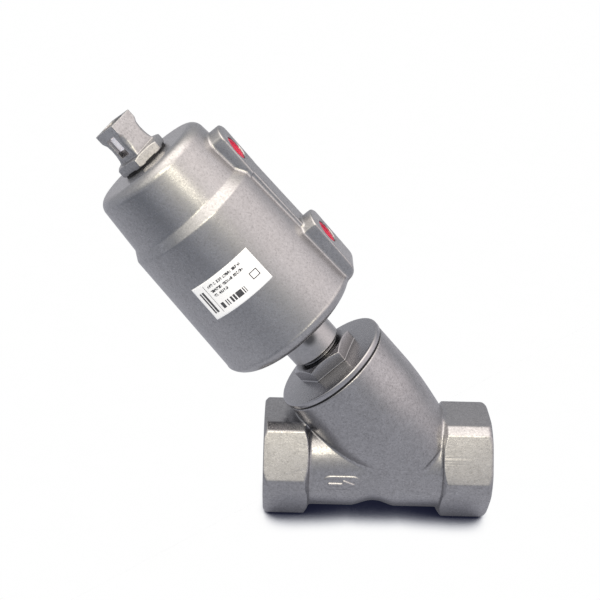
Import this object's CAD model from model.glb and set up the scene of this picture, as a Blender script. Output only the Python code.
"""A valve with a threaded pipe body, an angled branch and a round piston actuator on it.

Row frame: x runs along the pipe from the inlet face, the front is -y and z is up.
Branch frame (across, y, along): along climbs the branch axis from the pipe axis, towards
-x and +z; across is square to it, towards +x and +z. Shapes are in millimetres, the scene
in metres.
"""

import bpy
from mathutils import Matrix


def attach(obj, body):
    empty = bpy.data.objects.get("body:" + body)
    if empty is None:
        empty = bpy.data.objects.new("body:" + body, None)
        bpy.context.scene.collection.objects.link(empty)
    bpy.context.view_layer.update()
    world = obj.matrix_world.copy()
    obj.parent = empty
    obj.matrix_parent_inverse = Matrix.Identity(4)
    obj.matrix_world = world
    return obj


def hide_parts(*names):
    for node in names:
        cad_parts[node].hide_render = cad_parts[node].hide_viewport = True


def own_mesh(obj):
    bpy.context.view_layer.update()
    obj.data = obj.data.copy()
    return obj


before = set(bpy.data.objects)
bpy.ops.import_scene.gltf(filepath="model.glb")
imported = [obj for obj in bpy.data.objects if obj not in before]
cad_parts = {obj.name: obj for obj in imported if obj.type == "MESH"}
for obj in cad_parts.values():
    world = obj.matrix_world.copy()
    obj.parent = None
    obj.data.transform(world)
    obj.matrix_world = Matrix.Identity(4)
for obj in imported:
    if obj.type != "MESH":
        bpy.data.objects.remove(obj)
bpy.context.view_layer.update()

import math
import bpy
import bmesh
import numpy as np
from mathutils import Matrix, Vector

MM = 0.001
CROSS_X = 85.0                 # where the branch axis meets the pipe axis
BRANCH_ANGLE = math.radians(49.0)
ALONG_DIR = np.array([-math.cos(BRANCH_ANGLE), 0.0, math.sin(BRANCH_ANGLE)])
ACROSS_DIR = np.array([math.sin(BRANCH_ANGLE), 0.0, math.cos(BRANCH_ANGLE)])
Y_DIR = np.array([0.0, 1.0, 0.0])
MAX_TRIANGLES = 188000         # per piece
COS30 = 0.8660254
COS45 = 0.7071
SCENE = bpy.context.scene

# sizes that several pieces share
HEX_FLATS = 57.0               # across the flats of the body's hexagon ends
NECK_RADIUS = 14.3
LOWER_FACE, UPPER_FACE = 45.7, 38.9      # faces of the port bosses, across
LOWER_PORT, UPPER_PORT = 135.7, 197.6    # port axes, along
DOME_TOP = 213.5               # inside of the housing's upper end, along
WALL_FOOT_RADIUS = 40.75       # housing wall just above its lower corner


# ------------------------------------------------------------------ meshes and objects
def to_row(points):
    """Branch frame points as row frame points."""
    points = np.asarray(points, float)
    return (np.array([CROSS_X, 0, 0]) + points[:, :1] * ACROSS_DIR
            + points[:, 1:2] * Y_DIR + points[:, 2:3] * ALONG_DIR)


def link_object(name, data):
    obj = bpy.data.objects.new(name, data)
    SCENE.collection.objects.link(obj)
    return obj


def smooth(mesh):
    mesh.polygons.foreach_set("use_smooth", np.ones(len(mesh.polygons), bool))


def register(obj, body, node):
    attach(obj, body)
    if node:
        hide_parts(node)


def list_mesh(name, points, faces, material, body, node):
    """A smooth object from a list of faces of any size."""
    mesh = bpy.data.meshes.new(name)
    mesh.from_pydata((np.asarray(points) * MM).tolist(), [],
                     [list(map(int, face)) for face in faces])
    mesh.validate()
    mesh.update()
    obj = link_object(name, mesh)
    smooth(mesh)
    mesh.materials.append(material)
    register(obj, body, node)
    return obj


def quad_mesh(name, points, quads, material, body, node=None):
    """A smooth object straight from an array of quads, thinned if it is too heavy."""
    mesh = bpy.data.meshes.new(name)
    count = len(quads)
    corners = np.asarray(quads, np.int32).ravel()
    mesh.vertices.add(len(points))
    mesh.vertices.foreach_set("co", (np.asarray(points, np.float32) * MM).ravel())
    mesh.loops.add(len(corners))
    mesh.loops.foreach_set("vertex_index", corners)
    mesh.polygons.add(count)
    mesh.polygons.foreach_set("loop_start", (np.arange(count) * 4).astype(np.int32))
    mesh.polygons.foreach_set("use_smooth", np.ones(count, bool))
    mesh.update(calc_edges=True)
    mesh.validate()
    obj = link_object(name, mesh)
    mesh.materials.append(material)
    if 2 * count > MAX_TRIANGLES:
        # flat stretches give up faces first
        thin = obj.modifiers.new("thin", "DECIMATE")
        thin.ratio = MAX_TRIANGLES / (2 * count)
        depsgraph = bpy.context.evaluated_depsgraph_get()
        small = bpy.data.meshes.new_from_object(obj.evaluated_get(depsgraph),
                                                depsgraph=depsgraph)
        obj.modifiers.clear()
        smooth(small)
        obj.data = small
    register(obj, body, node)


# ------------------------------------------------------------------ signed distances
def smin(first, second, blend):
    """Union with a fillet of the given size."""
    near = np.maximum(blend - np.abs(first - second), 0.0) / blend
    return np.minimum(first, second) - near * near * blend * 0.25


def smax(first, second, blend):
    """Intersection with an edge rounded by the given size."""
    near = np.maximum(blend - np.abs(first - second), 0.0) / blend
    return np.maximum(first, second) + near * near * blend * 0.25


def span(value, low, high):
    return np.abs(value - (low + high) / 2) - (high - low) / 2


def corner(dx, dy):
    """Distance to the quarter plane where dx and dy are both negative."""
    return np.hypot(np.maximum(dx, 0), np.maximum(dy, 0)) + np.minimum(np.maximum(dx, dy), 0)


def rectangle(x, y, x_span, y_span):
    return corner(span(x, *x_span), span(y, *y_span))


def extrude(section, depth, low, high, rounding=0.0):
    """Solid with the given section between two depths, its edges rounded."""
    return corner(section + rounding, span(depth, low, high) + rounding) - rounding


def hexagon(x, y, flats):
    """Hexagon with two of its flats facing +y and -y."""
    slants = np.maximum(np.abs(y), np.abs(COS30 * x + 0.5 * y))
    return np.maximum(slants, np.abs(COS30 * x - 0.5 * y)) - flats / 2


def cone(radius, along, at, normal):
    """Cone surface through the (radius, along) point at, facing along normal."""
    return (radius - at[0]) * normal[0] + (along - at[1]) * normal[1]


def turned(across, y, degrees):
    """Coordinates on axes turned about the branch axis."""
    angle = math.radians(degrees)
    cos, sin = math.cos(angle), math.sin(angle)
    return across * cos + y * sin, -across * sin + y * cos


def polygon(x, y, outline):
    """Exact signed distance to a closed polygon."""
    outline = np.asarray(outline, float)
    squared = np.full(x.shape, 1e9)
    inside = np.zeros(x.shape, bool)
    for (ax, ay), (bx, by) in zip(outline, np.roll(outline, -1, 0)):
        edge_x, edge_y = bx - ax, by - ay
        from_x, from_y = x - ax, y - ay
        share = (from_x * edge_x + from_y * edge_y) / (edge_x * edge_x + edge_y * edge_y + 1e-12)
        share = np.clip(share, 0, 1)
        off_x, off_y = from_x - edge_x * share, from_y - edge_y * share
        squared = np.minimum(squared, off_x * off_x + off_y * off_y)
        if edge_y != 0:
            crosses = (ay <= y) != (by <= y)
            inside ^= crosses & (x < ax + (y - ay) * edge_x / edge_y)
    dist = np.sqrt(squared)
    return np.where(inside, -dist, dist)


class Lathe:
    """Signed distance of a solid of revolution, looked up in a (radius, along) table."""

    def __init__(self, outline, max_radius, start, end, step=0.1):
        self.step, self.start = step, start
        radii, alongs = np.meshgrid(np.arange(0, max_radius + step, step),
                                    np.arange(start, end + step, step), indexing="ij")
        # mirrored across the axis, so that the axis is no edge
        outline = np.asarray(outline, float)
        full = np.vstack([outline, outline[::-1] * [-1, 1]])
        keep = [full[0]]
        for point in full[1:]:
            if np.hypot(*(point - keep[-1])) > 1e-9:
                keep.append(point)
        self.table = polygon(radii, alongs, np.array(keep)).astype(np.float32)

    def __call__(self, radius, along):
        rows, columns = self.table.shape
        row = np.clip(radius / self.step, 0, rows - 1.001)
        column = np.clip((along - self.start) / self.step, 0, columns - 1.001)
        i, j = row.astype(np.int32), column.astype(np.int32)
        u, w = (row - i).astype(np.float32), (column - j).astype(np.float32)
        table = self.table
        return ((table[i, j] * (1 - u) + table[i + 1, j] * u) * (1 - w)
                + (table[i, j + 1] * (1 - u) + table[i + 1, j + 1] * u) * w)


def arc(center_x, center_y, radius, start, end, count):
    """Points on an arc, angles in degrees."""
    return [(center_x + radius * math.cos(math.radians(a)),
             center_y + radius * math.sin(math.radians(a))) for a in np.linspace(start, end, count)]


def rounded(rows, steps):
    """Outline from rows of x, y and corner rounding, each arc in the given steps."""
    rows = np.asarray(rows, float)
    corners = rows[:, :2]
    out = []
    for i, (here, rounding) in enumerate(zip(corners, rows[:, 2])):
        if rounding <= 0:
            out.append(here)
            continue
        back, ahead = corners[i - 1] - here, corners[(i + 1) % len(rows)] - here
        back_length, ahead_length = np.hypot(*back), np.hypot(*ahead)
        back, ahead = back / back_length, ahead / ahead_length
        angle = math.acos(np.clip(back @ ahead, -1, 1))
        if angle > math.pi - 0.02 or angle < 0.02:
            out.append(here)
            continue
        reach = rounding / math.tan(angle / 2)
        limit = 0.49 * min(back_length, ahead_length)
        if reach > limit:
            reach = limit
            rounding = reach * math.tan(angle / 2)
        middle = (back + ahead) / np.hypot(*(back + ahead))
        center = here + middle * (rounding / math.sin(angle / 2))
        first, last = here + back * reach, here + ahead * reach
        start, end = (math.atan2(*(point - center)[::-1]) for point in (first, last))
        turn = (end - start + math.pi) % (2 * math.pi) - math.pi
        for k in range(steps + 1):
            a = start + turn * k / steps
            out.append(center + rounding * np.array([math.cos(a), math.sin(a)]))
    return np.array(out)


def surface_mesh(distance, low, high, cell):
    """Points and quads of the zero level of distance in the box from low to high."""
    import openvdb as vdb
    low, high = np.asarray(low, float), np.asarray(high, float)
    counts = np.ceil((high - low) / cell).astype(int) + 1
    axes = [(low[k] + cell * np.arange(counts[k])).astype(np.float32) for k in range(3)]
    field = np.empty(tuple(counts), np.float32)
    # in slabs, to save memory
    slab = max(1, int(3e6 / (counts[1] * counts[2])))
    for i in range(0, counts[0], slab):
        field[i:i + slab] = distance(*np.meshgrid(axes[0][i:i + slab], axes[1], axes[2],
                                                  indexing="ij"))
    field = np.clip(field, -4 * cell, 4 * cell)
    grid = vdb.FloatGrid(4 * cell)
    grid.copyFromArray(field)
    points, _, quads = grid.convertToPolygons(isovalue=0.0, adaptivity=0.0)
    points = points.astype(np.float64) * cell + low
    # two Newton steps settle the points on the true surface
    probe = 0.08 * cell
    for _ in range(2):
        coords = [c.astype(np.float32) for c in points.T]

        def shifted(axis, shift):
            return distance(*[c + (shift if j == axis else 0) for j, c in enumerate(coords)])

        here = distance(*coords).astype(np.float64)
        slope = np.stack([(shifted(k, probe) - shifted(k, -probe)) / (2 * probe)
                          for k in range(3)], 1).astype(np.float64)
        steepness = (slope * slope).sum(1)
        move = np.clip(here / np.maximum(steepness, 0.3), -0.3 * cell, 0.3 * cell)
        points -= slope * move[:, None]
    # the faces look outwards when the enclosed volume is positive
    quads = quads.astype(np.int64)
    a, b, c, d = (points[quads[:, k]] for k in range(4))
    volume = (np.einsum("ij,ij->i", a, np.cross(b, c))
              + np.einsum("ij,ij->i", a, np.cross(c, d))).sum()
    if volume < 0:
        quads = quads[:, ::-1]
    return points, quads


def sdf_piece(name, distance, low, high, cells, material, body, node, in_branch=True):
    """Object from a signed distance; cells are the quick and the full cell size."""
    points, quads = surface_mesh(distance, low, high, cells[1])
    if in_branch:
        points = to_row(points)
    quad_mesh(name, points, quads, material, body, node)


# ------------------------------------------------------------------ shader graphs
class Graph:
    """Builder for the node tree of a material or world. An input takes a value or a socket."""

    def __init__(self, owner):
        owner.use_nodes = True
        self.tree = owner.node_tree
        self.tree.nodes.clear()

    def feed(self, node, inputs):
        for key, value in inputs.items():
            if isinstance(value, bpy.types.NodeSocket):
                self.tree.links.new(value, node.inputs[key])
            else:
                node.inputs[key].default_value = value

    def add(self, kind, inputs=None, **settings):
        node = self.tree.nodes.new("ShaderNode" + kind)
        for key, value in settings.items():
            setattr(node, key, value)
        self.feed(node, inputs or {})
        return node

    def coords(self, output="Object"):
        return self.add("TexCoord").outputs[output]

    def noise(self, coords, scale, detail, **more):
        return self.add("TexNoise", {"Vector": coords, "Scale": scale, "Detail": detail,
                                     **more}).outputs["Fac"]

    def calc(self, operation, *values):
        return self.add("Math", dict(enumerate(values)), operation=operation).outputs[0]

    def mix(self, blend, amount, first, second):
        return self.add("MixRGB", {0: amount, 1: first, 2: second}, blend_type=blend).outputs[0]

    def multiply(self, first, second):
        return self.mix("MULTIPLY", 1.0, first, second)

    def remap(self, value, source=(0.0, 1.0), target=(0.0, 1.0), curve="LINEAR"):
        return self.add("MapRange", {"From Min": source[0], "From Max": source[1],
                                     "To Min": target[0], "To Max": target[1],
                                     "Value": value}, interpolation_type=curve).outputs[0]

    def vector(self, operation, coords, constant):
        """Value of a vector operation with a constant: DOT_PRODUCT or DISTANCE."""
        return self.add("VectorMath", {0: coords, 1: constant},
                        operation=operation).outputs["Value"]

    def ramp(self, factor, stops):
        """Colour ramp; stops are (position, colour) pairs in ascending order."""
        node = self.add("ValToRGB", {0: factor})
        elements = node.color_ramp.elements
        for element, (position, color) in ((elements[0], stops[0]), (elements[1], stops[-1])):
            element.position = position
            element.color = (*color, 1)
        for position, color in stops[1:-1]:
            elements.new(position).color = (*color, 1)
        return node.outputs[0]

    def occlusion(self, distance, samples):
        node = self.add("AmbientOcclusion", {"Distance": distance})
        node.samples = samples
        return node.outputs["AO"]

    def bump(self, height, strength, **more):
        return self.add("Bump", {"Height": height, "Strength": strength, "Distance": 0.0001,
                                 **more}).outputs[0]


def new_material(name):
    material = bpy.data.materials.new(name)
    graph = Graph(material)
    output = graph.add("OutputMaterial")
    shader = graph.add("BsdfPrincipled")
    graph.feed(output, {0: shader.outputs[0]})
    return material, graph, shader


def grey(level):
    return (level, level, level)


# ------------------------------------------------------------------ materials
def metal(name, color, rough, grain=0.3, grain_mm=0.5, speck=0.12, wave=0.05, mottle=0.05,
          pits=0.0, cavity_mm=5.0, cavity_dark=0.4, stain=None):
    """Blasted or machined metal.

    grain: relief of the grain, grain_mm its size, speck its tone; wave and mottle: tone of
    broad and of middling patches; pits: depth of fine pits; cavity: darkening of recesses;
    stain: (centre mm, radius mm, tone) of one soft dark smear.
    """
    material, graph, shader = new_material(name)
    coords = graph.coords()
    small, large, broad = (graph.noise(coords, scale, detail, Roughness=0.6)
                           for scale, detail in ((1000.0 / grain_mm, 2.0),
                                                 (1000.0 / (grain_mm * 2.3), 2.0), (55.0, 4.0)))
    grains = graph.calc("MULTIPLY_ADD", large, 0.6, graph.calc("MULTIPLY", small, 0.4))
    color = np.array(color)
    tone = graph.multiply(
        graph.ramp(grains, [(0.36, tuple(color * (1 - speck * 1.7))),
                            (0.46, tuple(color * (1 - speck * 0.2))),
                            (0.60, tuple(color * (1 + speck * 0.7)))]),
        graph.ramp(broad, [(0.3, grey(1 - wave)), (0.5, (1.0, 0.995, 0.99)),
                           (0.7, grey(1 + wave))]))
    patches = graph.noise(coords, 420.0, 3.0, Roughness=0.65)
    tone = graph.multiply(tone, graph.ramp(patches, [
        (0.35, grey(1 - mottle)), (0.5, grey(1.0)), (0.65, grey(1 + mottle))]))
    # recesses hold less light and a little more grime
    open_sky = graph.occlusion(cavity_mm * MM, samples=6)
    grime = tuple(np.array((0.96, 0.97, 1.0)) * (1 - cavity_dark))
    tone = graph.multiply(tone, graph.ramp(open_sky, [(0.15, grime), (0.80, grey(1.0))]))
    if stain is not None:
        center, reach, dark = stain
        away = graph.vector("DISTANCE", coords, tuple(c * MM for c in center))
        tone = graph.multiply(tone, graph.remap(away, (reach * 0.3 * MM, reach * MM),
                                                (dark, 1.0), curve="SMOOTHSTEP"))
    roughness = graph.remap(grains, (0.35, 0.65), (rough + 0.06, rough - 0.04))
    normal = graph.bump(grains, grain)
    if pits > 0:
        cells = graph.add("TexVoronoi", {"Vector": coords, "Scale": 330.0}).outputs["Distance"]
        holes = graph.ramp(cells, [(0.03, grey(0)), (0.12, grey(1))])
        normal = graph.bump(holes, pits, Normal=normal)
    graph.feed(shader, {"Base Color": tone, "Roughness": roughness, "Metallic": 1.0,
                        "Normal": normal})
    return material


def plastic(name, color, rough, tone_spread=0.06, bump=0.15, subsurface=0.0, specular=0.5,
            glow=None):
    """Plain plastic or rubber; glow is the colour of a faint light of its own."""
    material, graph, shader = new_material(name)
    coords = graph.coords()
    fine = graph.noise(coords, 900.0, 4.0, Roughness=0.6)
    broad = graph.noise(coords, 75.0, 2.0)
    color = np.array(color)
    tone = graph.ramp(broad, [(0.3, tuple(color * (1 - tone_spread))),
                              (0.7, tuple(color * (1 + tone_spread)))])
    graph.feed(shader, {"Base Color": tone,
                        "Roughness": graph.remap(fine, target=(rough - 0.06, rough + 0.1)),
                        "Specular IOR Level": specular, "Normal": graph.bump(fine, bump)})
    if subsurface:
        graph.feed(shader, {"Subsurface Weight": subsurface,
                            "Subsurface Radius": (0.002, 0.001, 0.0008)})
    if glow:
        graph.feed(shader, {"Emission Color": (*glow, 1), "Emission Strength": 0.35})
    return material


CAST_BODY = metal("cast_body", (0.44, 0.435, 0.445), rough=0.29, grain=0.34, grain_mm=0.46,
                  speck=0.15, pits=0.12, mottle=0.07, cavity_mm=6.0, cavity_dark=0.45)
CAST_HOUSING = metal("cast_housing", (0.50, 0.495, 0.50), rough=0.29, wave=0.03, pits=0.10,
                     mottle=0.03, cavity_mm=4.0, cavity_dark=0.35)
MACHINED = metal("machined_steel", (0.47, 0.465, 0.48), rough=0.24, grain=0.12, grain_mm=0.40,
                 speck=0.06, cavity_mm=13.0, cavity_dark=0.80)
# the smear lies on the front of the neck, a little towards the outlet side
SMEAR_TURN = math.radians(17)
SMEAR = to_row(np.array([[NECK_RADIUS * math.sin(SMEAR_TURN),
                          -NECK_RADIUS * math.cos(SMEAR_TURN), 99.9]]))[0]
TURNED = metal("turned_steel", (0.50, 0.495, 0.50), rough=0.30, grain=0.14, grain_mm=0.40,
               speck=0.06, wave=0.04, cavity_dark=0.5, stain=(SMEAR.tolist(), 5.2, 0.28))
INDICATOR = metal("indicator_steel", (0.51, 0.505, 0.505), rough=0.32, grain=0.40,
                  grain_mm=0.45, speck=0.16)
GROUND = metal("ground_stem", (0.66, 0.66, 0.67), rough=0.16, grain=0.05, grain_mm=0.25,
               speck=0.03, wave=0.02)
SPRING = metal("spring_wire", (0.30, 0.30, 0.32), rough=0.30, grain=0.15, grain_mm=0.3,
               speck=0.08)
ALLOY = metal("piston_alloy", (0.62, 0.62, 0.64), rough=0.34, grain=0.15, grain_mm=0.3,
              speck=0.06, wave=0.03)
BRONZE = metal("bearing_bronze", (0.62, 0.40, 0.17), rough=0.32, grain=0.15, grain_mm=0.3,
               speck=0.08)
THREAD = metal("thread_steel", (0.50, 0.49, 0.50), rough=0.28, grain=0.12, grain_mm=0.3,
               speck=0.08, wave=0.03)
PTFE = plastic("ptfe", (0.80, 0.79, 0.75), rough=0.45, subsurface=0.15)
RUBBER = plastic("black_rubber", (0.012, 0.012, 0.014), rough=0.55, bump=0.3, specular=0.35)
WHITE = plastic("white_tip", (0.80, 0.79, 0.82), rough=0.35, subsurface=0.1,
                glow=(0.80, 0.77, 0.84))
RED = plastic("red_polythene", (0.62, 0.012, 0.060), rough=0.38, tone_spread=0.10, bump=0.25,
              subsurface=0.12)

# CAD nodes by material; the rest are machined steel
NODES_BY_MATERIAL = (
    (RUBBER, "body_gasket neck_oring base_oring rod_seal piston_seal piston_oring"
             " indicator_seal"),
    (BRONZE, "stem_guide_bush gland_nut rod_bush"),
    (SPRING, "packing_spring base_retaining_ring outer_spring inner_spring"),
    (PTFE, "packing_rings seat_seal piston_guide_ring"),
    (GROUND, "stem plug_pins indicator_rod"),
    (ALLOY, "piston"),
    (WHITE, "indicator_tip"),
)
NODE_MATERIALS = {node: material for material, nodes in NODES_BY_MATERIAL
                  for node in nodes.split()}
for node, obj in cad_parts.items():
    obj.data.materials.clear()
    obj.data.materials.append(NODE_MATERIALS.get(node, MACHINED))


# ------------------------------------------------------------------ valve body
BODY_LENGTH = 122
BARREL_RADIUS = 26.5
HEX_CORNER_RADIUS = 31.4
INLET_HEX, OUTLET_HEX = 24.2, 26.4       # lengths of the hexagon ends
THREAD_BORE = 24.0                       # radius
THREAD_BORE_DEPTH = 21.4
FLOW_BORE = 20                           # radius
SEAT_BORE = 18.5                         # radius
BRANCH_FOOT = 2.5                        # along
FLARE_END, FLARE_RADIUS = 52, 26.4       # the flare widens by 5.3 up to its end
BRANCH_RADIUS, BRANCH_TOP = 31.7, 74.1
STRAIGHT_START = 60.0

# rounded upper rim of the branch
RIM = arc(BRANCH_RADIUS - 0.5, BRANCH_TOP - 0.5, 0.5, 0, 90, 7) + [(0, BRANCH_TOP)]


def flare_radius(along):
    return FLARE_RADIUS + 5.3 * np.sin(np.radians(90 * along / FLARE_END)) ** 1.3


# branch outline on the outlet side: radius, along
OUTLET_SIDE = Lathe(
    [(0, BRANCH_FOOT), (22.5, BRANCH_FOOT), (25.0, 4.5), (26.2, 6.0)]
    + [(float(flare_radius(s)), float(s)) for s in np.linspace(0, FLARE_END, 40)[:-1] if s > 7.4]
    + [(BRANCH_RADIUS, FLARE_END), (BRANCH_RADIUS, STRAIGHT_START)] + RIM, 48, -14, 84)

# fuller outline on the inlet side: stations along the branch, and the radii there
FULL_ALONG = [BRANCH_FOOT, 4.5, 6, 7.5, 9.5, 13, 18, 23, 27.5, 32, 36, 40, 44, 48, 52, 56, 60]
FULL_RADII = [22.5, 25.0, 26.3, 27.2, 27.7, 28.1, 28.7, 29.65, 30.55, 31.35, 31.9, 32.15, 32.2,
              32.1, 31.9, 31.75, BRANCH_RADIUS]
INLET_SIDE = Lathe(
    [(0, BRANCH_FOOT)]
    + [(float(np.interp(s, FULL_ALONG, FULL_RADII)), float(s))
       for s in np.linspace(BRANCH_FOOT, STRAIGHT_START, 93)] + RIM, 48, -14, 84)

# plug chamber: radius, along
CHAMBER = Lathe([(0, 3.6), (20.6, 3.6), (20.6, 2.0), (22.6, 2.0), (22.6, 14), (25, 40),
                 (25, 54), (27, 56), (27, 80), (0, 80)], 40, -14, 84)

# flow arrow: x from the middle of its pad, z
ARROW_X, ARROW_Z = 42.0, -0.4
ARROW = [(-7.4, -0.9), (0.6, -0.9), (0.6, -2.9), (7.6, 0), (0.6, 2.9), (0.6, 0.9), (-7.4, 0.9)]


def hex_end(depth, y, z, radius, length, outer_blend):
    """Hexagon with turned-down corners; depth runs inwards from the end face."""
    dist = smax(hexagon(y, z, HEX_FLATS), radius - HEX_CORNER_RADIUS, 0.3)
    # outer end: turned chamfer and soft edge; inner end: chamfer down to the flats
    dist = smax(dist, cone(radius, depth, at=(29.6, 0), normal=(COS45, -COS45)), outer_blend)
    dist = smax(dist, -depth, outer_blend)
    inner = cone(radius, depth, at=(HEX_FLATS / 2, length), normal=(0.58, 0.815))
    dist = smax(dist, inner, 0.4)
    return smax(dist, depth - length, 0.4)


def branch_outside(across, branch_radius, along):
    """Branch that changes from its inlet side outline to its outlet side one."""
    share = np.clip((across / np.maximum(branch_radius, 1.0) + 0.35) / 0.95, 0, 1)
    share = share * share * (3 - 2 * share)
    return INLET_SIDE(branch_radius, along) * (1 - share) + OUTLET_SIDE(branch_radius, along) * share


def add_flow_arrow(dist, x, y, z, radius):
    """Flow arrow raised from a low pad on the front of the barrel."""
    pad_x, pad_z = x - ARROW_X, z - ARROW_Z
    pad = rectangle(pad_x, pad_z, (-6.0, 6.0), (0.0, 0.0)) - 4.1
    arrow = polygon(pad_x, pad_z + 0.7, ARROW)
    front = np.where(y < 0, 0.0, 50.0)
    dist = smin(dist, smax(pad, radius - BARREL_RADIUS - 0.45, 0.3) + front, 0.4)
    return smin(dist, smax(arrow, radius - BARREL_RADIUS - 1.15, 0.35) + front, 0.3)


def body_passage(x, radius, branch_radius, along):
    """Inlet and outlet bores, the seat opening between them and the plug chamber."""
    inlet = np.maximum(np.maximum(radius - FLOW_BORE, span(x, 9, 85)), 3.6 - along)
    outlet = np.maximum(np.maximum(radius - FLOW_BORE, span(x, 55, 115)), along + 4)
    orifice = np.maximum(branch_radius - SEAT_BORE, span(along, -8, 12))
    # the plug chamber stops short of the outlet thread
    chamber = np.maximum(CHAMBER(branch_radius, along), x - 98.9)
    return smin(smin(smin(inlet, outlet, 0.8), orifice, 0.6), chamber, 0.8)


def valve_body(x, y, z):
    radius = np.hypot(y, z)
    across = (x - CROSS_X) * math.sin(BRANCH_ANGLE) + z * math.cos(BRANCH_ANGLE)
    along = -(x - CROSS_X) * math.cos(BRANCH_ANGLE) + z * math.sin(BRANCH_ANGLE)
    branch_radius = np.hypot(across, y)
    barrel = np.maximum(radius - BARREL_RADIUS, span(x, 11, 111))
    # cast waist in the underside, cut by a ring round the barrel
    waist = 14.6 - np.hypot(np.hypot(y, z - 8) - 44.9, x - 60)
    barrel = smax(barrel, waist, 2.5)
    dist = smin(barrel, branch_outside(across, branch_radius, along), 1.2)
    dist = smin(dist, hex_end(x, y, z, radius, INLET_HEX, 0.5), 2.2)
    dist = smin(dist, hex_end(BODY_LENGTH - x, y, z, radius, OUTLET_HEX, 0.9), 2.2)
    dist = add_flow_arrow(dist, x, y, z, radius)
    for in_end in (x < THREAD_BORE_DEPTH, x > BODY_LENGTH - THREAD_BORE_DEPTH):
        dist = smax(dist, THREAD_BORE - np.maximum(radius, np.where(in_end, 0, 99)), 0.3)
    for depth in (x, BODY_LENGTH - x):
        mouth = cone(radius, depth, at=(25.2, 0), normal=(-COS45, -COS45))
        dist = smax(dist, mouth, 0.5)
    return smax(dist, -body_passage(x, radius, branch_radius, along), 0.6)


sdf_piece("cast_valve_body", valve_body, (-1.5, -34.0, -30.0), (123.5, 34.0, 78.5),
          (1.0, 0.58), CAST_BODY, "valve", "valve_body", in_branch=False)

# ------------------------------------------------------------------ pipe threads
THREAD_PITCH = 2.309
THREAD_LENGTH = 21.0
THREAD_CREST, THREAD_ROOT = 22.42, 23.9  # radii
THREAD_SLEEVE = 24.25                    # outer radius
THREAD_RUNOUT = 1.2                      # the inner end fades to the crest radius
AROUND, ROWS_PER_PITCH = 120, 14


def thread_sleeve(name, face_x, inward):
    """Helical sleeve that starts at face_x; inward is +1 or -1 along x."""
    steps = int(THREAD_LENGTH / THREAD_PITCH * ROWS_PER_PITCH)
    depth, angle = np.meshgrid(np.linspace(0.05, THREAD_LENGTH, steps + 1),
                               np.linspace(0, 2 * math.pi, AROUND, endpoint=False),
                               indexing="ij")
    phase = (depth / THREAD_PITCH - inward * angle / (2 * math.pi)) % 1.0
    flank = np.abs(phase - 0.5) * 2            # 0 at the crest, 1 at the root
    fall = np.clip((flank - 0.16) / 0.66, 0, 1)
    fall = fall * fall * (3 - 2 * fall) * 0.35 + fall * 0.65
    radius = THREAD_CREST + (THREAD_ROOT - THREAD_CREST) * fall
    # the mouth opens out, and the thread runs out at its far end
    radius = np.maximum(radius, np.minimum(25.15 - depth, THREAD_ROOT + 0.05))
    fade = (depth - THREAD_LENGTH + THREAD_RUNOUT) / THREAD_RUNOUT
    radius = np.where(depth > THREAD_LENGTH - THREAD_RUNOUT,
                      THREAD_CREST * fade + radius * (1 - fade), radius)
    points = np.concatenate([
        np.stack([face_x + inward * depth, r * np.cos(angle), r * np.sin(angle)],
                 -1).reshape(-1, 3)
        for r in (radius, np.full_like(radius, THREAD_SLEEVE))])
    layer = (steps + 1) * AROUND
    index = np.arange(layer).reshape(steps + 1, AROUND)
    after = np.roll(index, -1, 1)
    inner = np.stack([index[:-1], index[1:], after[1:], after[:-1]], -1).reshape(-1, 4)
    outer = np.stack([index[:-1], after[:-1], after[1:], index[1:]], -1).reshape(-1, 4) + layer
    start = np.stack([index[0], after[0], after[0] + layer, index[0] + layer], -1)
    end = np.stack([index[-1], index[-1] + layer, after[-1] + layer, after[-1]], -1)
    quads = np.concatenate([inner, outer, start, end])
    if inward < 0:
        quads = quads[:, ::-1]
    quad_mesh(name, points, quads, THREAD, "valve")


thread_sleeve("inlet_thread", 0, 1)
thread_sleeve("outlet_thread", BODY_LENGTH, -1)

# ------------------------------------------------------------------ bonnet
BONNET_HEX_FLATS = 31.6
BONNET_HEX_TURN = 7.5          # degrees
BONNET_HEX_BASE, BONNET_HEX_TOP = 76, 86.4
# radius, along, rounding
BONNET_OUTSIDE = Lathe(rounded([
    (0, 60, 0), (26.95, 60, 0.5), (26.95, 75, 0.2), (31.55, 75, 0.15), (32.1, 75.5, 0.1),
    (32.1, 78.25, 1.1), (15.8, 79.2, 0), (11.1, 79.2, 0), (11.1, 88.9, 0.3), (12, 89.7, 0.2),
    (12, 105, 0.4), (11, 106, 0.4), (0, 106, 0)], 6), 40, 50, 112)
# radius, along
BONNET_BORE = Lathe([(0, 50), (8.5, 50), (8.5, 94), (9.5, 94), (9.5, 110), (0, 110)],
                    40, 50, 112)


def bonnet(across, y, along):
    radius = np.hypot(across, y)
    nut = hexagon(*turned(across, y, BONNET_HEX_TURN), BONNET_HEX_FLATS)
    nut = smax(nut, cone(radius, along, at=(15.5, BONNET_HEX_TOP), normal=(0.5, 0.866)), 0.2)
    nut = smax(nut, along - BONNET_HEX_TOP, 0.2)
    nut = np.maximum(nut, BONNET_HEX_BASE - along)
    return smax(smin(BONNET_OUTSIDE(radius, along), nut, 0.5), -BONNET_BORE(radius, along), 0.3)


sdf_piece("bonnet_shell", bonnet, (-33.5, -33.5, 58.8), (33.5, 33.5, 107.0), (0.7, 0.36),
          MACHINED, "valve", "bonnet")


# ------------------------------------------------------------------ actuator housing
WALL_FOOT = 113.7              # along, where the lower corner meets the wall
SHOULDER = (37.1, 186.5)       # radius, along


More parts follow.
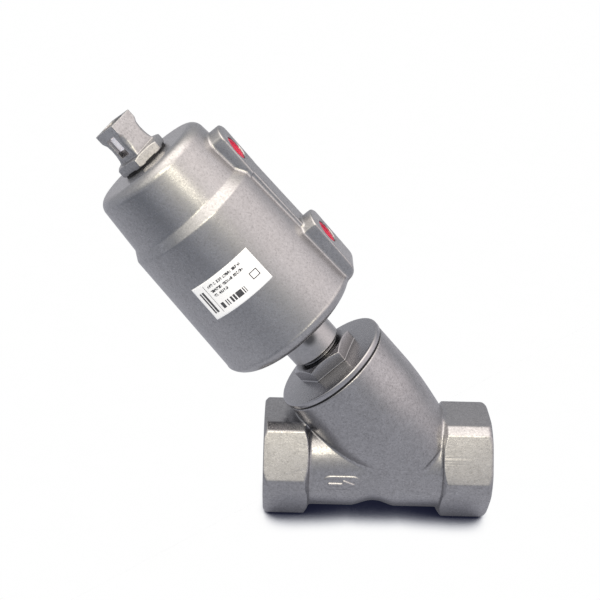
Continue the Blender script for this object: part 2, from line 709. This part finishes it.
def lower_corner():
    """Soft corner under the wall, which starts with a slight break; radius, along."""
    angles = np.radians(20 + 50 * np.linspace(0, 1, 12))
    steps = np.array([(-math.sin(a), -math.cos(a)) for a in angles])
    path = np.vstack([[0, 0], np.cumsum((steps[1:] + steps[:-1]) / 2, 0)])
    path *= np.array([-5.0, -5.4]) / path[-1]
    return [(WALL_FOOT_RADIUS + dx, WALL_FOOT + dy) for dx, dy in path][::-1]


# lower corner, a faint lip, the tapering wall, the shoulder and the rounded top
WALL = rounded([(40.50, 115.6, 0), (*SHOULDER, 1.1), (34.1, 191.6, 1.4), (32.0, 214.75, 0)], 6)
HOUSING_OUTSIDE = Lathe(
    [(0, 108.3)] + lower_corner() + [(40.80, 114.2), (40.55, 115.0)]
    + list(map(tuple, WALL[1:])) + arc(25.9, 214.75, 6.1, 0, 90, 12) + [(0, 220.85)],
    60, 100, 228)
# radius, along
HOUSING_INSIDE = Lathe([
    (0, 100), (34.6, 100), (34.6, 109.5), (36.2, 109.5), (36.2, 111.05), (34.6, 111.05),
    (34.6, 117), (33.5, 117), (33.5, 182), (30, 187), (29.6, 194), (28, 209),
    (24.5, DOME_TOP), (9.05, DOME_TOP), (9.05, 228), (0, 228)], 60, 100, 228)

LOWER_BOSS_START, LOWER_BOSS_END, LOWER_BOSS_HALF = 113.6, 137.5, 9.5
UPPER_BOSS_END, UPPER_BOSS_HALF = 201.0, 8.4
# port axis along, face across, depth of the connection bore
PORTS = ((LOWER_PORT, LOWER_FACE, 10.5), (UPPER_PORT, UPPER_FACE, 7.6))


def lower_boss_plan(along, y):
    width = (-LOWER_BOSS_HALF, LOWER_BOSS_HALF)
    block = rectangle(along, y, (LOWER_BOSS_START, LOWER_BOSS_END), width)
    foot = rectangle(along, y, (LOWER_BOSS_START, 130), (-5.5, 5.5)) - 4.0
    head = np.maximum(np.hypot(along - LOWER_BOSS_END, y) - 12.2, np.abs(y) - LOWER_BOSS_HALF)
    return smin(np.minimum(block, foot), head, 0.01)


def upper_boss_plan(along, y):
    block = rectangle(along, y, (184, UPPER_BOSS_END), (-UPPER_BOSS_HALF, UPPER_BOSS_HALF))
    head = smax(np.hypot(along - UPPER_BOSS_END, y) - 10.6, np.abs(y) - UPPER_BOSS_HALF, 1.2)
    return np.minimum(block, head)


def port_block(across, y, along):
    """Two port bosses joined by a ridge, on the outlet side."""
    lower = extrude(lower_boss_plan(along, y), across, 15, LOWER_FACE, 0.9)
    # the lower end of the boss rounds over into the wall
    lower = smax(lower, corner(across - 37.4, 119.0 - along) - 9.0, 1.2)
    upper = extrude(upper_boss_plan(along, y), across, 12, UPPER_FACE, 0.8)
    # the ridge keeps its height above the flaring wall
    rise = 1.3 * np.clip((190 - along) / 50, 0, 1)
    ridge = extrude(rectangle(along, y, (140, 190), (-7.3, 7.3)), across - rise,
                    15, UPPER_FACE, 0.7)
    return smin(np.minimum(upper, ridge), lower, 1.0)


def housing(across, y, along):
    radius = np.hypot(across, y)
    dist = smin(HOUSING_OUTSIDE(radius, along), port_block(across, y, along), 1.2)
    dist = smax(dist, -HOUSING_INSIDE(radius, along), 0.4)
    for port, face, depth in PORTS:
        port_radius = np.hypot(along - port, y)
        # connection bore, counterbore and the narrow passage inwards: radius, floor, blend
        for bore, bottom, blend in ((5.75, face - depth, 0.2), (6.5, face - 2.1, 0.25),
                                    (2.4, 20, 0.2)):
            dist = smax(dist, -np.maximum(port_radius - bore, bottom - across), blend)
    return dist


sdf_piece("cast_housing", housing, (-42.5, -42.5, 106.5), (48.0, 42.5, 222.5), (1.0, 0.55),
          CAST_HOUSING, "actuator", "actuator_housing")

# ------------------------------------------------------------------ base plate with the neck
# radius, along, rounding
BASE_OUTSIDE = Lathe(rounded([
    (0, 88.4, 0), (13.3, 88.4, 0.25), (NECK_RADIUS, 89.4, 0.3), (NECK_RADIUS, 106.6, 2.5),
    (16.3, 108.6, 1.5), (31.5, 108.6, 0.8), (31.5, 111.05, 0.3), (34.55, 111.05, 0.3),
    (34.55, 117, 0.4), (0, 117, 0)], 4), 40, 84, 120)
# radius, along
BASE_BORE = Lathe([(0, 82), (12.1, 82), (12.1, 107.2), (5.4, 107.2), (5.4, 108.6),
                   (7.62, 108.6), (7.62, 122), (0, 122)], 40, 84, 120)


def base(across, y, along):
    radius = np.hypot(across, y)
    return smax(BASE_OUTSIDE(radius, along), -BASE_BORE(radius, along), 0.2)


sdf_piece("neck_and_base", base, (-36, -36, 87.5), (36, 36, 118.0), (0.8, 0.42),
          TURNED, "actuator", "base_plate")

# ------------------------------------------------------------------ indicator housing
INDICATOR_FOOT, INDICATOR_HEX_TOP, INDICATOR_TOP = 221.8, 227.0, 245.3   # along
INDICATOR_TURN = -34           # degrees, of the square part
# radius, along, rounding
INDICATOR_WAIST = Lathe(rounded([
    (0, 222, 0), (10.8, 222, 0), (10.8, 227, 0.8), (9.8, 228.8, 2), (9.25, 231.8, 3),
    (9.1, 235.3, 3), (9.4, 238.3, 2), (10.3, 239.9, 1.2), (11.25, 240.9, 0.5),
    (11.25, 244.8, 0.2), (10.75, INDICATOR_TOP, 0.2), (0, INDICATOR_TOP, 0)], 5),
    20, 210, 250, step=0.05)


def indicator(across, y, along):
    """Hexagon foot, waisted square above it, and a window right through the square."""
    radius = np.hypot(across, y)
    foot = hexagon(y, across, 24.0)
    top_bevel = cone(radius, along, at=(12.2, INDICATOR_HEX_TOP), normal=(0.5, 0.866))
    low_bevel = cone(radius, along, at=(13.2, INDICATOR_FOOT), normal=(0.8, -0.6))
    foot = smax(smax(foot, top_bevel, 0.3), low_bevel, 0.3)
    foot = smax(smax(foot, along - INDICATOR_HEX_TOP, 0.3), INDICATOR_FOOT - along, 0.2)
    width, thick = turned(across, y, INDICATOR_TURN)
    square = smax(np.abs(width) - 7.5, np.abs(thick) - 7.5, 0.4)
    square = smax(np.maximum(square, INDICATOR_FOOT - along), along - INDICATOR_TOP, 0.4)
    square = smax(square, INDICATOR_WAIST(radius, along), 0.6)
    dist = smin(foot, square, 0.7)
    # spigot into the housing
    dist = np.minimum(dist, np.maximum(radius - 9.0, span(along, DOME_TOP, 222.5)))
    # rod bore, and the wider bore above it
    dist = smax(dist, 2.25 - radius, 0.1)
    dist = smax(dist, -np.maximum(radius - 6.35, 228.6 - along), 0.35)
    window = extrude(rectangle(width, along, (-3.2, 3.2), (229.6, 240.4)), thick, -20, 20)
    return smax(dist, -window, 0.35)


sdf_piece("indicator_block", indicator, (-14.8, -14.8, 213.0), (14.8, 14.8, 246.0),
          (0.5, 0.24), INDICATOR, "actuator", "indicator_housing")


# ------------------------------------------------------------------ dust plugs
def dust_plug(name, port, face, node):
    """Plug with a dished head, a bar across the dish, and a ribbed hollow skirt."""
    def plug(across, y, along):
        radius = np.hypot(along - port, y)
        height = across - face + 0.45
        head = extrude(radius - 6.35, height, -1.6, -0.35, 0.35)
        dish = np.maximum(radius - 4.6, -0.9 - height)
        head = smax(head, -smax(dish, -(np.abs(y) - 0.7), 0.3), 0.3)
        skirt = extrude(radius - 5.66, height, -5.9, -1.2, 0.5)
        rib = np.hypot(radius - 5.45, (height + 3.2)) - 0.24
        dist = smin(head, smin(skirt, rib, 0.2), 0.3)
        return smax(dist, -np.maximum(radius - 4.5, height + 2.6), 0.3)

    sdf_piece(name, plug, (face - 7.4, -7.2, port - 7.2), (face + 0.8, 7.2, port + 7.2),
              (0.45, 0.2), RED, name, node)


dust_plug("lower_dust_plug", LOWER_PORT, LOWER_FACE, "port_plug_lower")
dust_plug("upper_dust_plug", UPPER_PORT, UPPER_FACE, "port_plug_upper")


# ------------------------------------------------------------------ nameplate
def label_material():
    """White film with plain bars and blocks that stand for print; no lettering."""
    material, graph, shader = new_material("label_film")
    uv = graph.add("UVMap", uv_map="label").outputs[0]
    split = graph.add("SeparateXYZ", {0: uv})
    u, v = split.outputs[0], split.outputs[1]

    def band(socket, low, high):
        return graph.calc("MULTIPLY", graph.calc("GREATER_THAN", socket, low),
                          graph.calc("LESS_THAN", socket, high))

    def cells(columns, rows):
        """Random on-off blocks on a grid: print too small to read."""
        indices = [graph.calc("FLOOR", graph.calc("MULTIPLY", socket, count))
                   for socket, count in ((u, columns), (v, rows))]
        joined = graph.add("CombineXYZ", dict(enumerate(indices))).outputs[0]
        random = graph.add("TexWhiteNoise", {"Vector": joined}).outputs["Value"]
        return band(random, 0.0, 0.62)

    print_cells, code_cells = cells(118.0, 40.0), cells(62.0, 0.5)
    # v from, v to, (u from, u to) of each bar, blocks that break the bars up
    rows = [
        (0.80, 0.875, ((0.235, 0.37), (0.395, 0.48), (0.505, 0.64), (0.665, 0.80)), print_cells),
        (0.65, 0.725, ((0.235, 0.42), (0.445, 0.60), (0.625, 0.78)), print_cells),
        (0.525, 0.60, ((0.235, 0.295), (0.32, 0.47)), print_cells),
        (0.16, 0.33, ((0.225, 0.64),), code_cells),
        (0.28, 0.48, ((0.79, 0.803), (0.902, 0.915)), None),
        (0.28, 0.305, ((0.79, 0.915),), None),
        (0.455, 0.48, ((0.79, 0.915),), None),
        (0.10, 0.93, ((0.183, 0.190),), None),
        (0.16, 0.80, ((0.06, 0.085), (0.10, 0.135)), None),
    ]
    bars = None
    for low, high, spans, mask in rows:
        row = band(v, low, high)
        if mask is not None:
            row = graph.calc("MULTIPLY", row, mask)
        for left, right in spans:
            bar = graph.calc("MULTIPLY", band(u, left, right), row)
            bars = bar if bars is None else graph.calc("MAXIMUM", bars, bar)
    grain = graph.noise(graph.coords(), 2600.0, 2.0)
    white = graph.ramp(grain, [(0.3, grey(0.90)), (0.7, grey(0.96))])
    ink = graph.ramp(grain, [(0.3, (0.03, 0.03, 0.035)), (0.7, (0.10, 0.10, 0.105))])
    tone = graph.mix("MIX", bars, white, ink)
    graph.feed(shader, {"Base Color": tone, "Roughness": 0.38, "Emission Color": tone,
                        "Emission Strength": 0.30, "Normal": graph.bump(grain, 0.08)})
    return material


LABEL_START, LABEL_HEIGHT = 144.7, 19.5  # along
LABEL_WIDTH = 36                         # round the wall
LABEL_ARC = math.radians(53.4)
LABEL_TURN = math.radians(1.1)           # from the front, towards the outlet side
LABEL_COLUMNS, LABEL_ROWS = 72, 24
LABEL_LIFT, LABEL_SINK = 0.33, -0.05     # outer and inner face, from the wall


def label():
    """Curved plate on the front of the tapering wall, its outer edges turned down."""
    points, uvs = [], []
    for offset in (LABEL_LIFT, LABEL_SINK):
        for j in range(LABEL_ROWS + 1):
            for i in range(LABEL_COLUMNS + 1):
                u, v = i / LABEL_COLUMNS, j / LABEL_ROWS
                along = LABEL_START + LABEL_HEIGHT * v
                angle = LABEL_TURN + LABEL_ARC * (u - 0.5)
                edge = min(min(u, 1 - u) * LABEL_WIDTH, min(v, 1 - v) * LABEL_HEIGHT)
                drop = 0.12 * max(0, 1 - edge / 0.35) if offset == LABEL_LIFT else 0
                wall = 40.6 + (SHOULDER[0] - 40.6) * (along - 113) / 73.5
                radius = wall + offset - drop
                points.append((radius * math.sin(angle), -radius * math.cos(angle), along))
                uvs.append((u, v))

    def at(layer, i, j):
        return (layer * (LABEL_ROWS + 1) + j) * (LABEL_COLUMNS + 1) + i

    last_i, last_j = LABEL_COLUMNS, LABEL_ROWS
    faces = []
    for j in range(LABEL_ROWS):
        for i in range(LABEL_COLUMNS):
            faces.append((at(0, i, j), at(0, i + 1, j), at(0, i + 1, j + 1), at(0, i, j + 1)))
            faces.append((at(1, i, j), at(1, i, j + 1), at(1, i + 1, j + 1), at(1, i + 1, j)))
    for i in range(LABEL_COLUMNS):
        faces.append((at(1, i, 0), at(1, i + 1, 0), at(0, i + 1, 0), at(0, i, 0)))
        faces.append((at(0, i, last_j), at(0, i + 1, last_j),
                      at(1, i + 1, last_j), at(1, i, last_j)))
    for j in range(LABEL_ROWS):
        faces.append((at(0, 0, j), at(0, 0, j + 1), at(1, 0, j + 1), at(1, 0, j)))
        faces.append((at(1, last_i, j), at(1, last_i, j + 1),
                      at(0, last_i, j + 1), at(0, last_i, j)))
    mesh = list_mesh("label_plate", to_row(np.array(points)), faces, label_material(),
                     "actuator", "nameplate").data
    layer = mesh.uv_layers.new(name="label")
    for loop in mesh.loops:
        layer.data[loop.index].uv = uvs[loop.vertex_index]


label()

# ------------------------------------------------------------------ smooth CAD nodes
REPLACED = {"valve_body", "bonnet", "actuator_housing", "base_plate", "indicator_housing",
            "port_plug_lower", "port_plug_upper", "nameplate", "outer_spring", "inner_spring"}
for node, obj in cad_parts.items():
    if node in REPLACED:
        continue
    smooth(obj.data)
    obj.data.update()
    # edges sharper than this stay crisp
    split = obj.modifiers.new("edges", "EDGE_SPLIT")
    split.split_angle = math.radians(32)

# ------------------------------------------------------------------ coil springs
SPRING_FOOT = 153.0            # along; the springs reach up to the dome
STEPS_PER_TURN, WIRE_SIDES = 40, 14


def coil_spring(name, node, mean_radius, wire_radius, turns):
    """Closed and ground spring; it shortens with the lift, its upper end staying put."""
    count = int(turns * STEPS_PER_TURN) + 1
    turn = np.linspace(0, turns, count)
    # the end turns lie close together; the middle ones share out the rest of the length
    free = np.clip(np.minimum(turn, turns - turn) - 0.55, 0, 0.5) / 0.5
    rate = 2.06 * wire_radius + free * free * (3 - 2 * free) * 50.0
    spread = np.concatenate([[0], np.cumsum((rate[1:] + rate[:-1]) / 2 * np.diff(turn))])
    closed = np.concatenate([[0], np.cumsum(np.full(count - 1, 2.06 * wire_radius)
                                            * np.diff(turn))])
    stretch = (((DOME_TOP - SPRING_FOOT - wire_radius) - closed[-1])
               / (spread[-1] - closed[-1]))
    middle = closed + (spread - closed) * stretch + SPRING_FOOT + 0.5 * wire_radius
    angle = turn * 2 * math.pi
    ring = np.linspace(0, 2 * math.pi, WIRE_SIDES, endpoint=False)
    radius = mean_radius + wire_radius * np.cos(ring)[None, :]
    # clipping grinds the ends flat
    along = np.clip(middle[:, None] + wire_radius * np.sin(ring)[None, :],
                    SPRING_FOOT, DOME_TOP)
    points = np.stack([radius * np.cos(angle)[:, None], radius * np.sin(angle)[:, None],
                       along], -1).reshape(-1, 3)
    index = np.arange(count * WIRE_SIDES).reshape(count, WIRE_SIDES)
    after = np.roll(index, -1, 1)
    faces = np.stack([index[:-1], index[1:], after[1:], after[:-1]], -1).reshape(-1, 4).tolist()
    # a fan of triangles closes each end of the wire
    points = np.vstack([points, points[index[0]].mean(0), points[index[-1]].mean(0)])
    first_hub = count * WIRE_SIDES
    for i in range(WIRE_SIDES):
        faces.append((first_hub, index[0, i], after[0, i]))
        faces.append((first_hub + 1, after[-1, i], index[-1, i]))
    obj = list_mesh(name, to_row(points), faces, SPRING, "actuator", node)
    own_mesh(obj)


coil_spring("outer_coil", "outer_spring", mean_radius=22.5, wire_radius=2.0, turns=6)
coil_spring("inner_coil", "inner_spring", mean_radius=15.5, wire_radius=1.3, turns=8)

# ------------------------------------------------------------------ floor, in metres
FLOOR_Z = -HEX_FLATS / 2 * MM - 0.0002
FLOOR_HALF = 30.0


def floor_material():
    """White paper to the camera, and a darker, uneven floor in the metal's reflections."""
    material, graph, shader = new_material("floor_paper")
    coords = graph.coords()
    paper = graph.ramp(graph.noise(coords, 60.0, 4.0), [(0.3, grey(0.996)), (0.7, grey(1.0))])
    # close, soft contact shadow, only where the piece hangs right over the paper
    contact = graph.ramp(graph.occlusion(0.022, samples=24), [
        (0.05, (0.006, 0.007, 0.018)), (0.22, (0.018, 0.020, 0.038)),
        (0.34, (0.13, 0.135, 0.165)), (0.46, (0.56, 0.565, 0.60)),
        (0.60, (0.93, 0.93, 0.94)), (0.72, (1, 1, 1))])
    paper = graph.multiply(paper, contact)
    # what the metal sees: darker to the front left, lighter to the back right
    diagonal = graph.vector("DOT_PRODUCT", coords, (0.70, 0.70, 0.0))
    reflected = graph.ramp(graph.remap(diagonal, (-0.9, 1.1), curve="SMOOTHSTEP"), [
        (0.0, (0.43, 0.445, 0.49)), (0.30, (0.46, 0.47, 0.515)), (0.46, (0.525, 0.53, 0.575)),
        (0.62, (0.52, 0.52, 0.56)), (1.0, (0.62, 0.61, 0.64))])
    # and a dark patch to the front left
    away = graph.vector("DISTANCE", coords, (-0.46, -0.56, FLOOR_Z))
    patch = graph.ramp(away, [(0.0, (0.36, 0.38, 0.41)), (0.26, (0.46, 0.48, 0.51)),
                              (0.62, (1, 1, 1))])
    reflected = graph.multiply(reflected, patch)
    reflected = graph.mix("MULTIPLY", 0.8, reflected, contact)
    to_camera = graph.add("LightPath").outputs["Is Camera Ray"]
    graph.feed(shader, {"Base Color": (0, 0, 0, 1), "Roughness": 1.0,
                        "Specular IOR Level": 0.0, "Emission Strength": 1.0,
                        "Emission Color": graph.mix("MIX", to_camera, reflected, paper)})
    return material


def floor():
    mesh = bpy.data.meshes.new("floor")
    builder = bmesh.new()
    builder.faces.new([builder.verts.new((x * FLOOR_HALF, y * FLOOR_HALF, FLOOR_Z))
                       for x, y in ((-1, -1), (1, -1), (1, 1), (-1, 1))])
    builder.normal_update()
    builder.to_mesh(mesh)
    builder.free()
    obj = link_object("floor", mesh)
    mesh.materials.append(floor_material())


floor()


# ------------------------------------------------------------------ light and camera
def direction(azimuth, elevation):
    """Unit vector from angles in degrees; azimuth 0 is the front, positive towards +x."""
    azimuth, elevation = math.radians(azimuth), math.radians(elevation)
    return (math.sin(azimuth) * math.cos(elevation), -math.cos(azimuth) * math.cos(elevation),
            math.sin(elevation))


def add_world():
    """A light tent: grey low down, bright overhead, softer panels; white to the camera."""
    world = bpy.data.worlds.new("studio")
    SCENE.world = world
    graph = Graph(world)
    world.cycles.sampling_method = "NONE"
    output = graph.add("OutputWorld")
    view = graph.coords("Generated")
    height = graph.add("SeparateXYZ", {0: view}).outputs[2]
    strength = 3.0             # ramp colours are divided by it

    def towards(azimuth, elevation):
        return graph.vector("DOT_PRODUCT", view, direction(azimuth, elevation))

    def glow(facing, stops):
        """stops: (degrees from the middle, colour), widest first."""
        return graph.ramp(graph.remap(facing, (-1.0, 1.0)),
                          [((math.cos(math.radians(a)) + 1) / 2, tuple(c / strength for c in color))
                           for a, color in stops])

    top = glow(towards(-14, 78), [
        (95, (0.43, 0.44, 0.47)), (75, (0.48, 0.485, 0.51)), (60, (0.54, 0.54, 0.545)),
        (50, (0.64, 0.63, 0.62)), (38, (1.08, 1.02, 0.96)), (27, (1.75, 1.66, 1.57)),
        (18, (2.15, 2.03, 1.88)), (5, (2.25, 2.1, 1.92))])
    right = glow(towards(82, 38), [
        (52, (0, 0, 0)), (36, (0.30, 0.255, 0.25)), (20, (0.58, 0.505, 0.49)),
        (2, (0.62, 0.54, 0.52))])
    front_left = glow(towards(-38, 25), [
        (26, (0, 0, 0)), (15, (0.26, 0.25, 0.21)), (4, (0.40, 0.38, 0.32))])
    light = graph.mix("ADD", 1.0, graph.mix("ADD", 1.0, top, right), front_left)
    # a dark region low at the front left
    dark = graph.ramp(towards(-42, -4), [(0.0, (1, 1, 1)), (0.78, (1, 1, 1)),
                                         (0.93, (0.58, 0.60, 0.63)), (1.0, (0.42, 0.44, 0.47))])
    low = graph.remap(height, (0.42, 0.08), curve="SMOOTHSTEP")
    light = graph.mix("MULTIPLY", low, light, dark)
    tent = graph.add("Background", {0: light, 1: strength})
    white = graph.add("Background", {0: (1, 1, 1, 1), 1: 1.0})
    to_camera = graph.add("LightPath").outputs["Is Camera Ray"]
    both = graph.add("MixShader", {0: to_camera, 1: tent.outputs[0], 2: white.outputs[0]})
    graph.feed(output, {0: both.outputs[0]})


add_world()


def panel(name, location, target, width, height, radiance, color):
    """A one-sided panel of a given brightness, in metres."""
    light = bpy.data.lights.new(name, "AREA")
    light.energy = radiance * math.pi * width * height
    light.color = color
    light.shape = "RECTANGLE"
    light.size = width
    light.size_y = height
    obj = link_object(name, light)
    obj.location = location
    aim = Vector(target) - Vector(location)
    obj.rotation_euler = aim.to_track_quat("-Z", "Y").to_euler()


panel("key_panel", location=(0.075, -0.54, 0.485), target=(0.075, 0.0, 0.14),
      width=0.46, height=0.15, radiance=3.7, color=(1.0, 0.93, 0.72))
panel("fill_panel", location=(-0.035, -0.54, 0.285), target=(-0.035, 0.0, 0.03),
      width=0.15, height=0.09, radiance=0.30, color=(1.0, 0.91, 0.70))


def add_camera():
    """Camera in front of the piece, looking down at a target on its middle plane."""
    back = np.array(direction(azimuth=-0.368, elevation=24.136))
    roll = math.radians(1.516)
    distance = 568.523
    target = np.array([CROSS_X - 67.535, 0, 93.816])
    position = target + back * distance
    forward = -back
    right = np.cross(forward, [0, 0, 1.0])
    right /= np.linalg.norm(right)
    down = np.cross(forward, right)
    cos, sin = math.cos(roll), math.sin(roll)
    columns = (cos * right - sin * down, -(sin * right + cos * down), back, position * MM)
    camera = bpy.data.cameras.new("camera")
    camera.lens = 65.80602
    camera.sensor_width = 36
    camera.sensor_fit = "AUTO"
    camera.clip_start, camera.clip_end = 0.01, 20
    obj = link_object("camera", camera)
    matrix = Matrix.Identity(4)
    for i in range(3):
        for j, column in enumerate(columns):
            matrix[i][j] = column[i]
    obj.matrix_world = matrix
    SCENE.camera = obj


add_camera()
SCENE.view_settings.view_transform = "Standard"
SCENE.view_settings.look = "None"
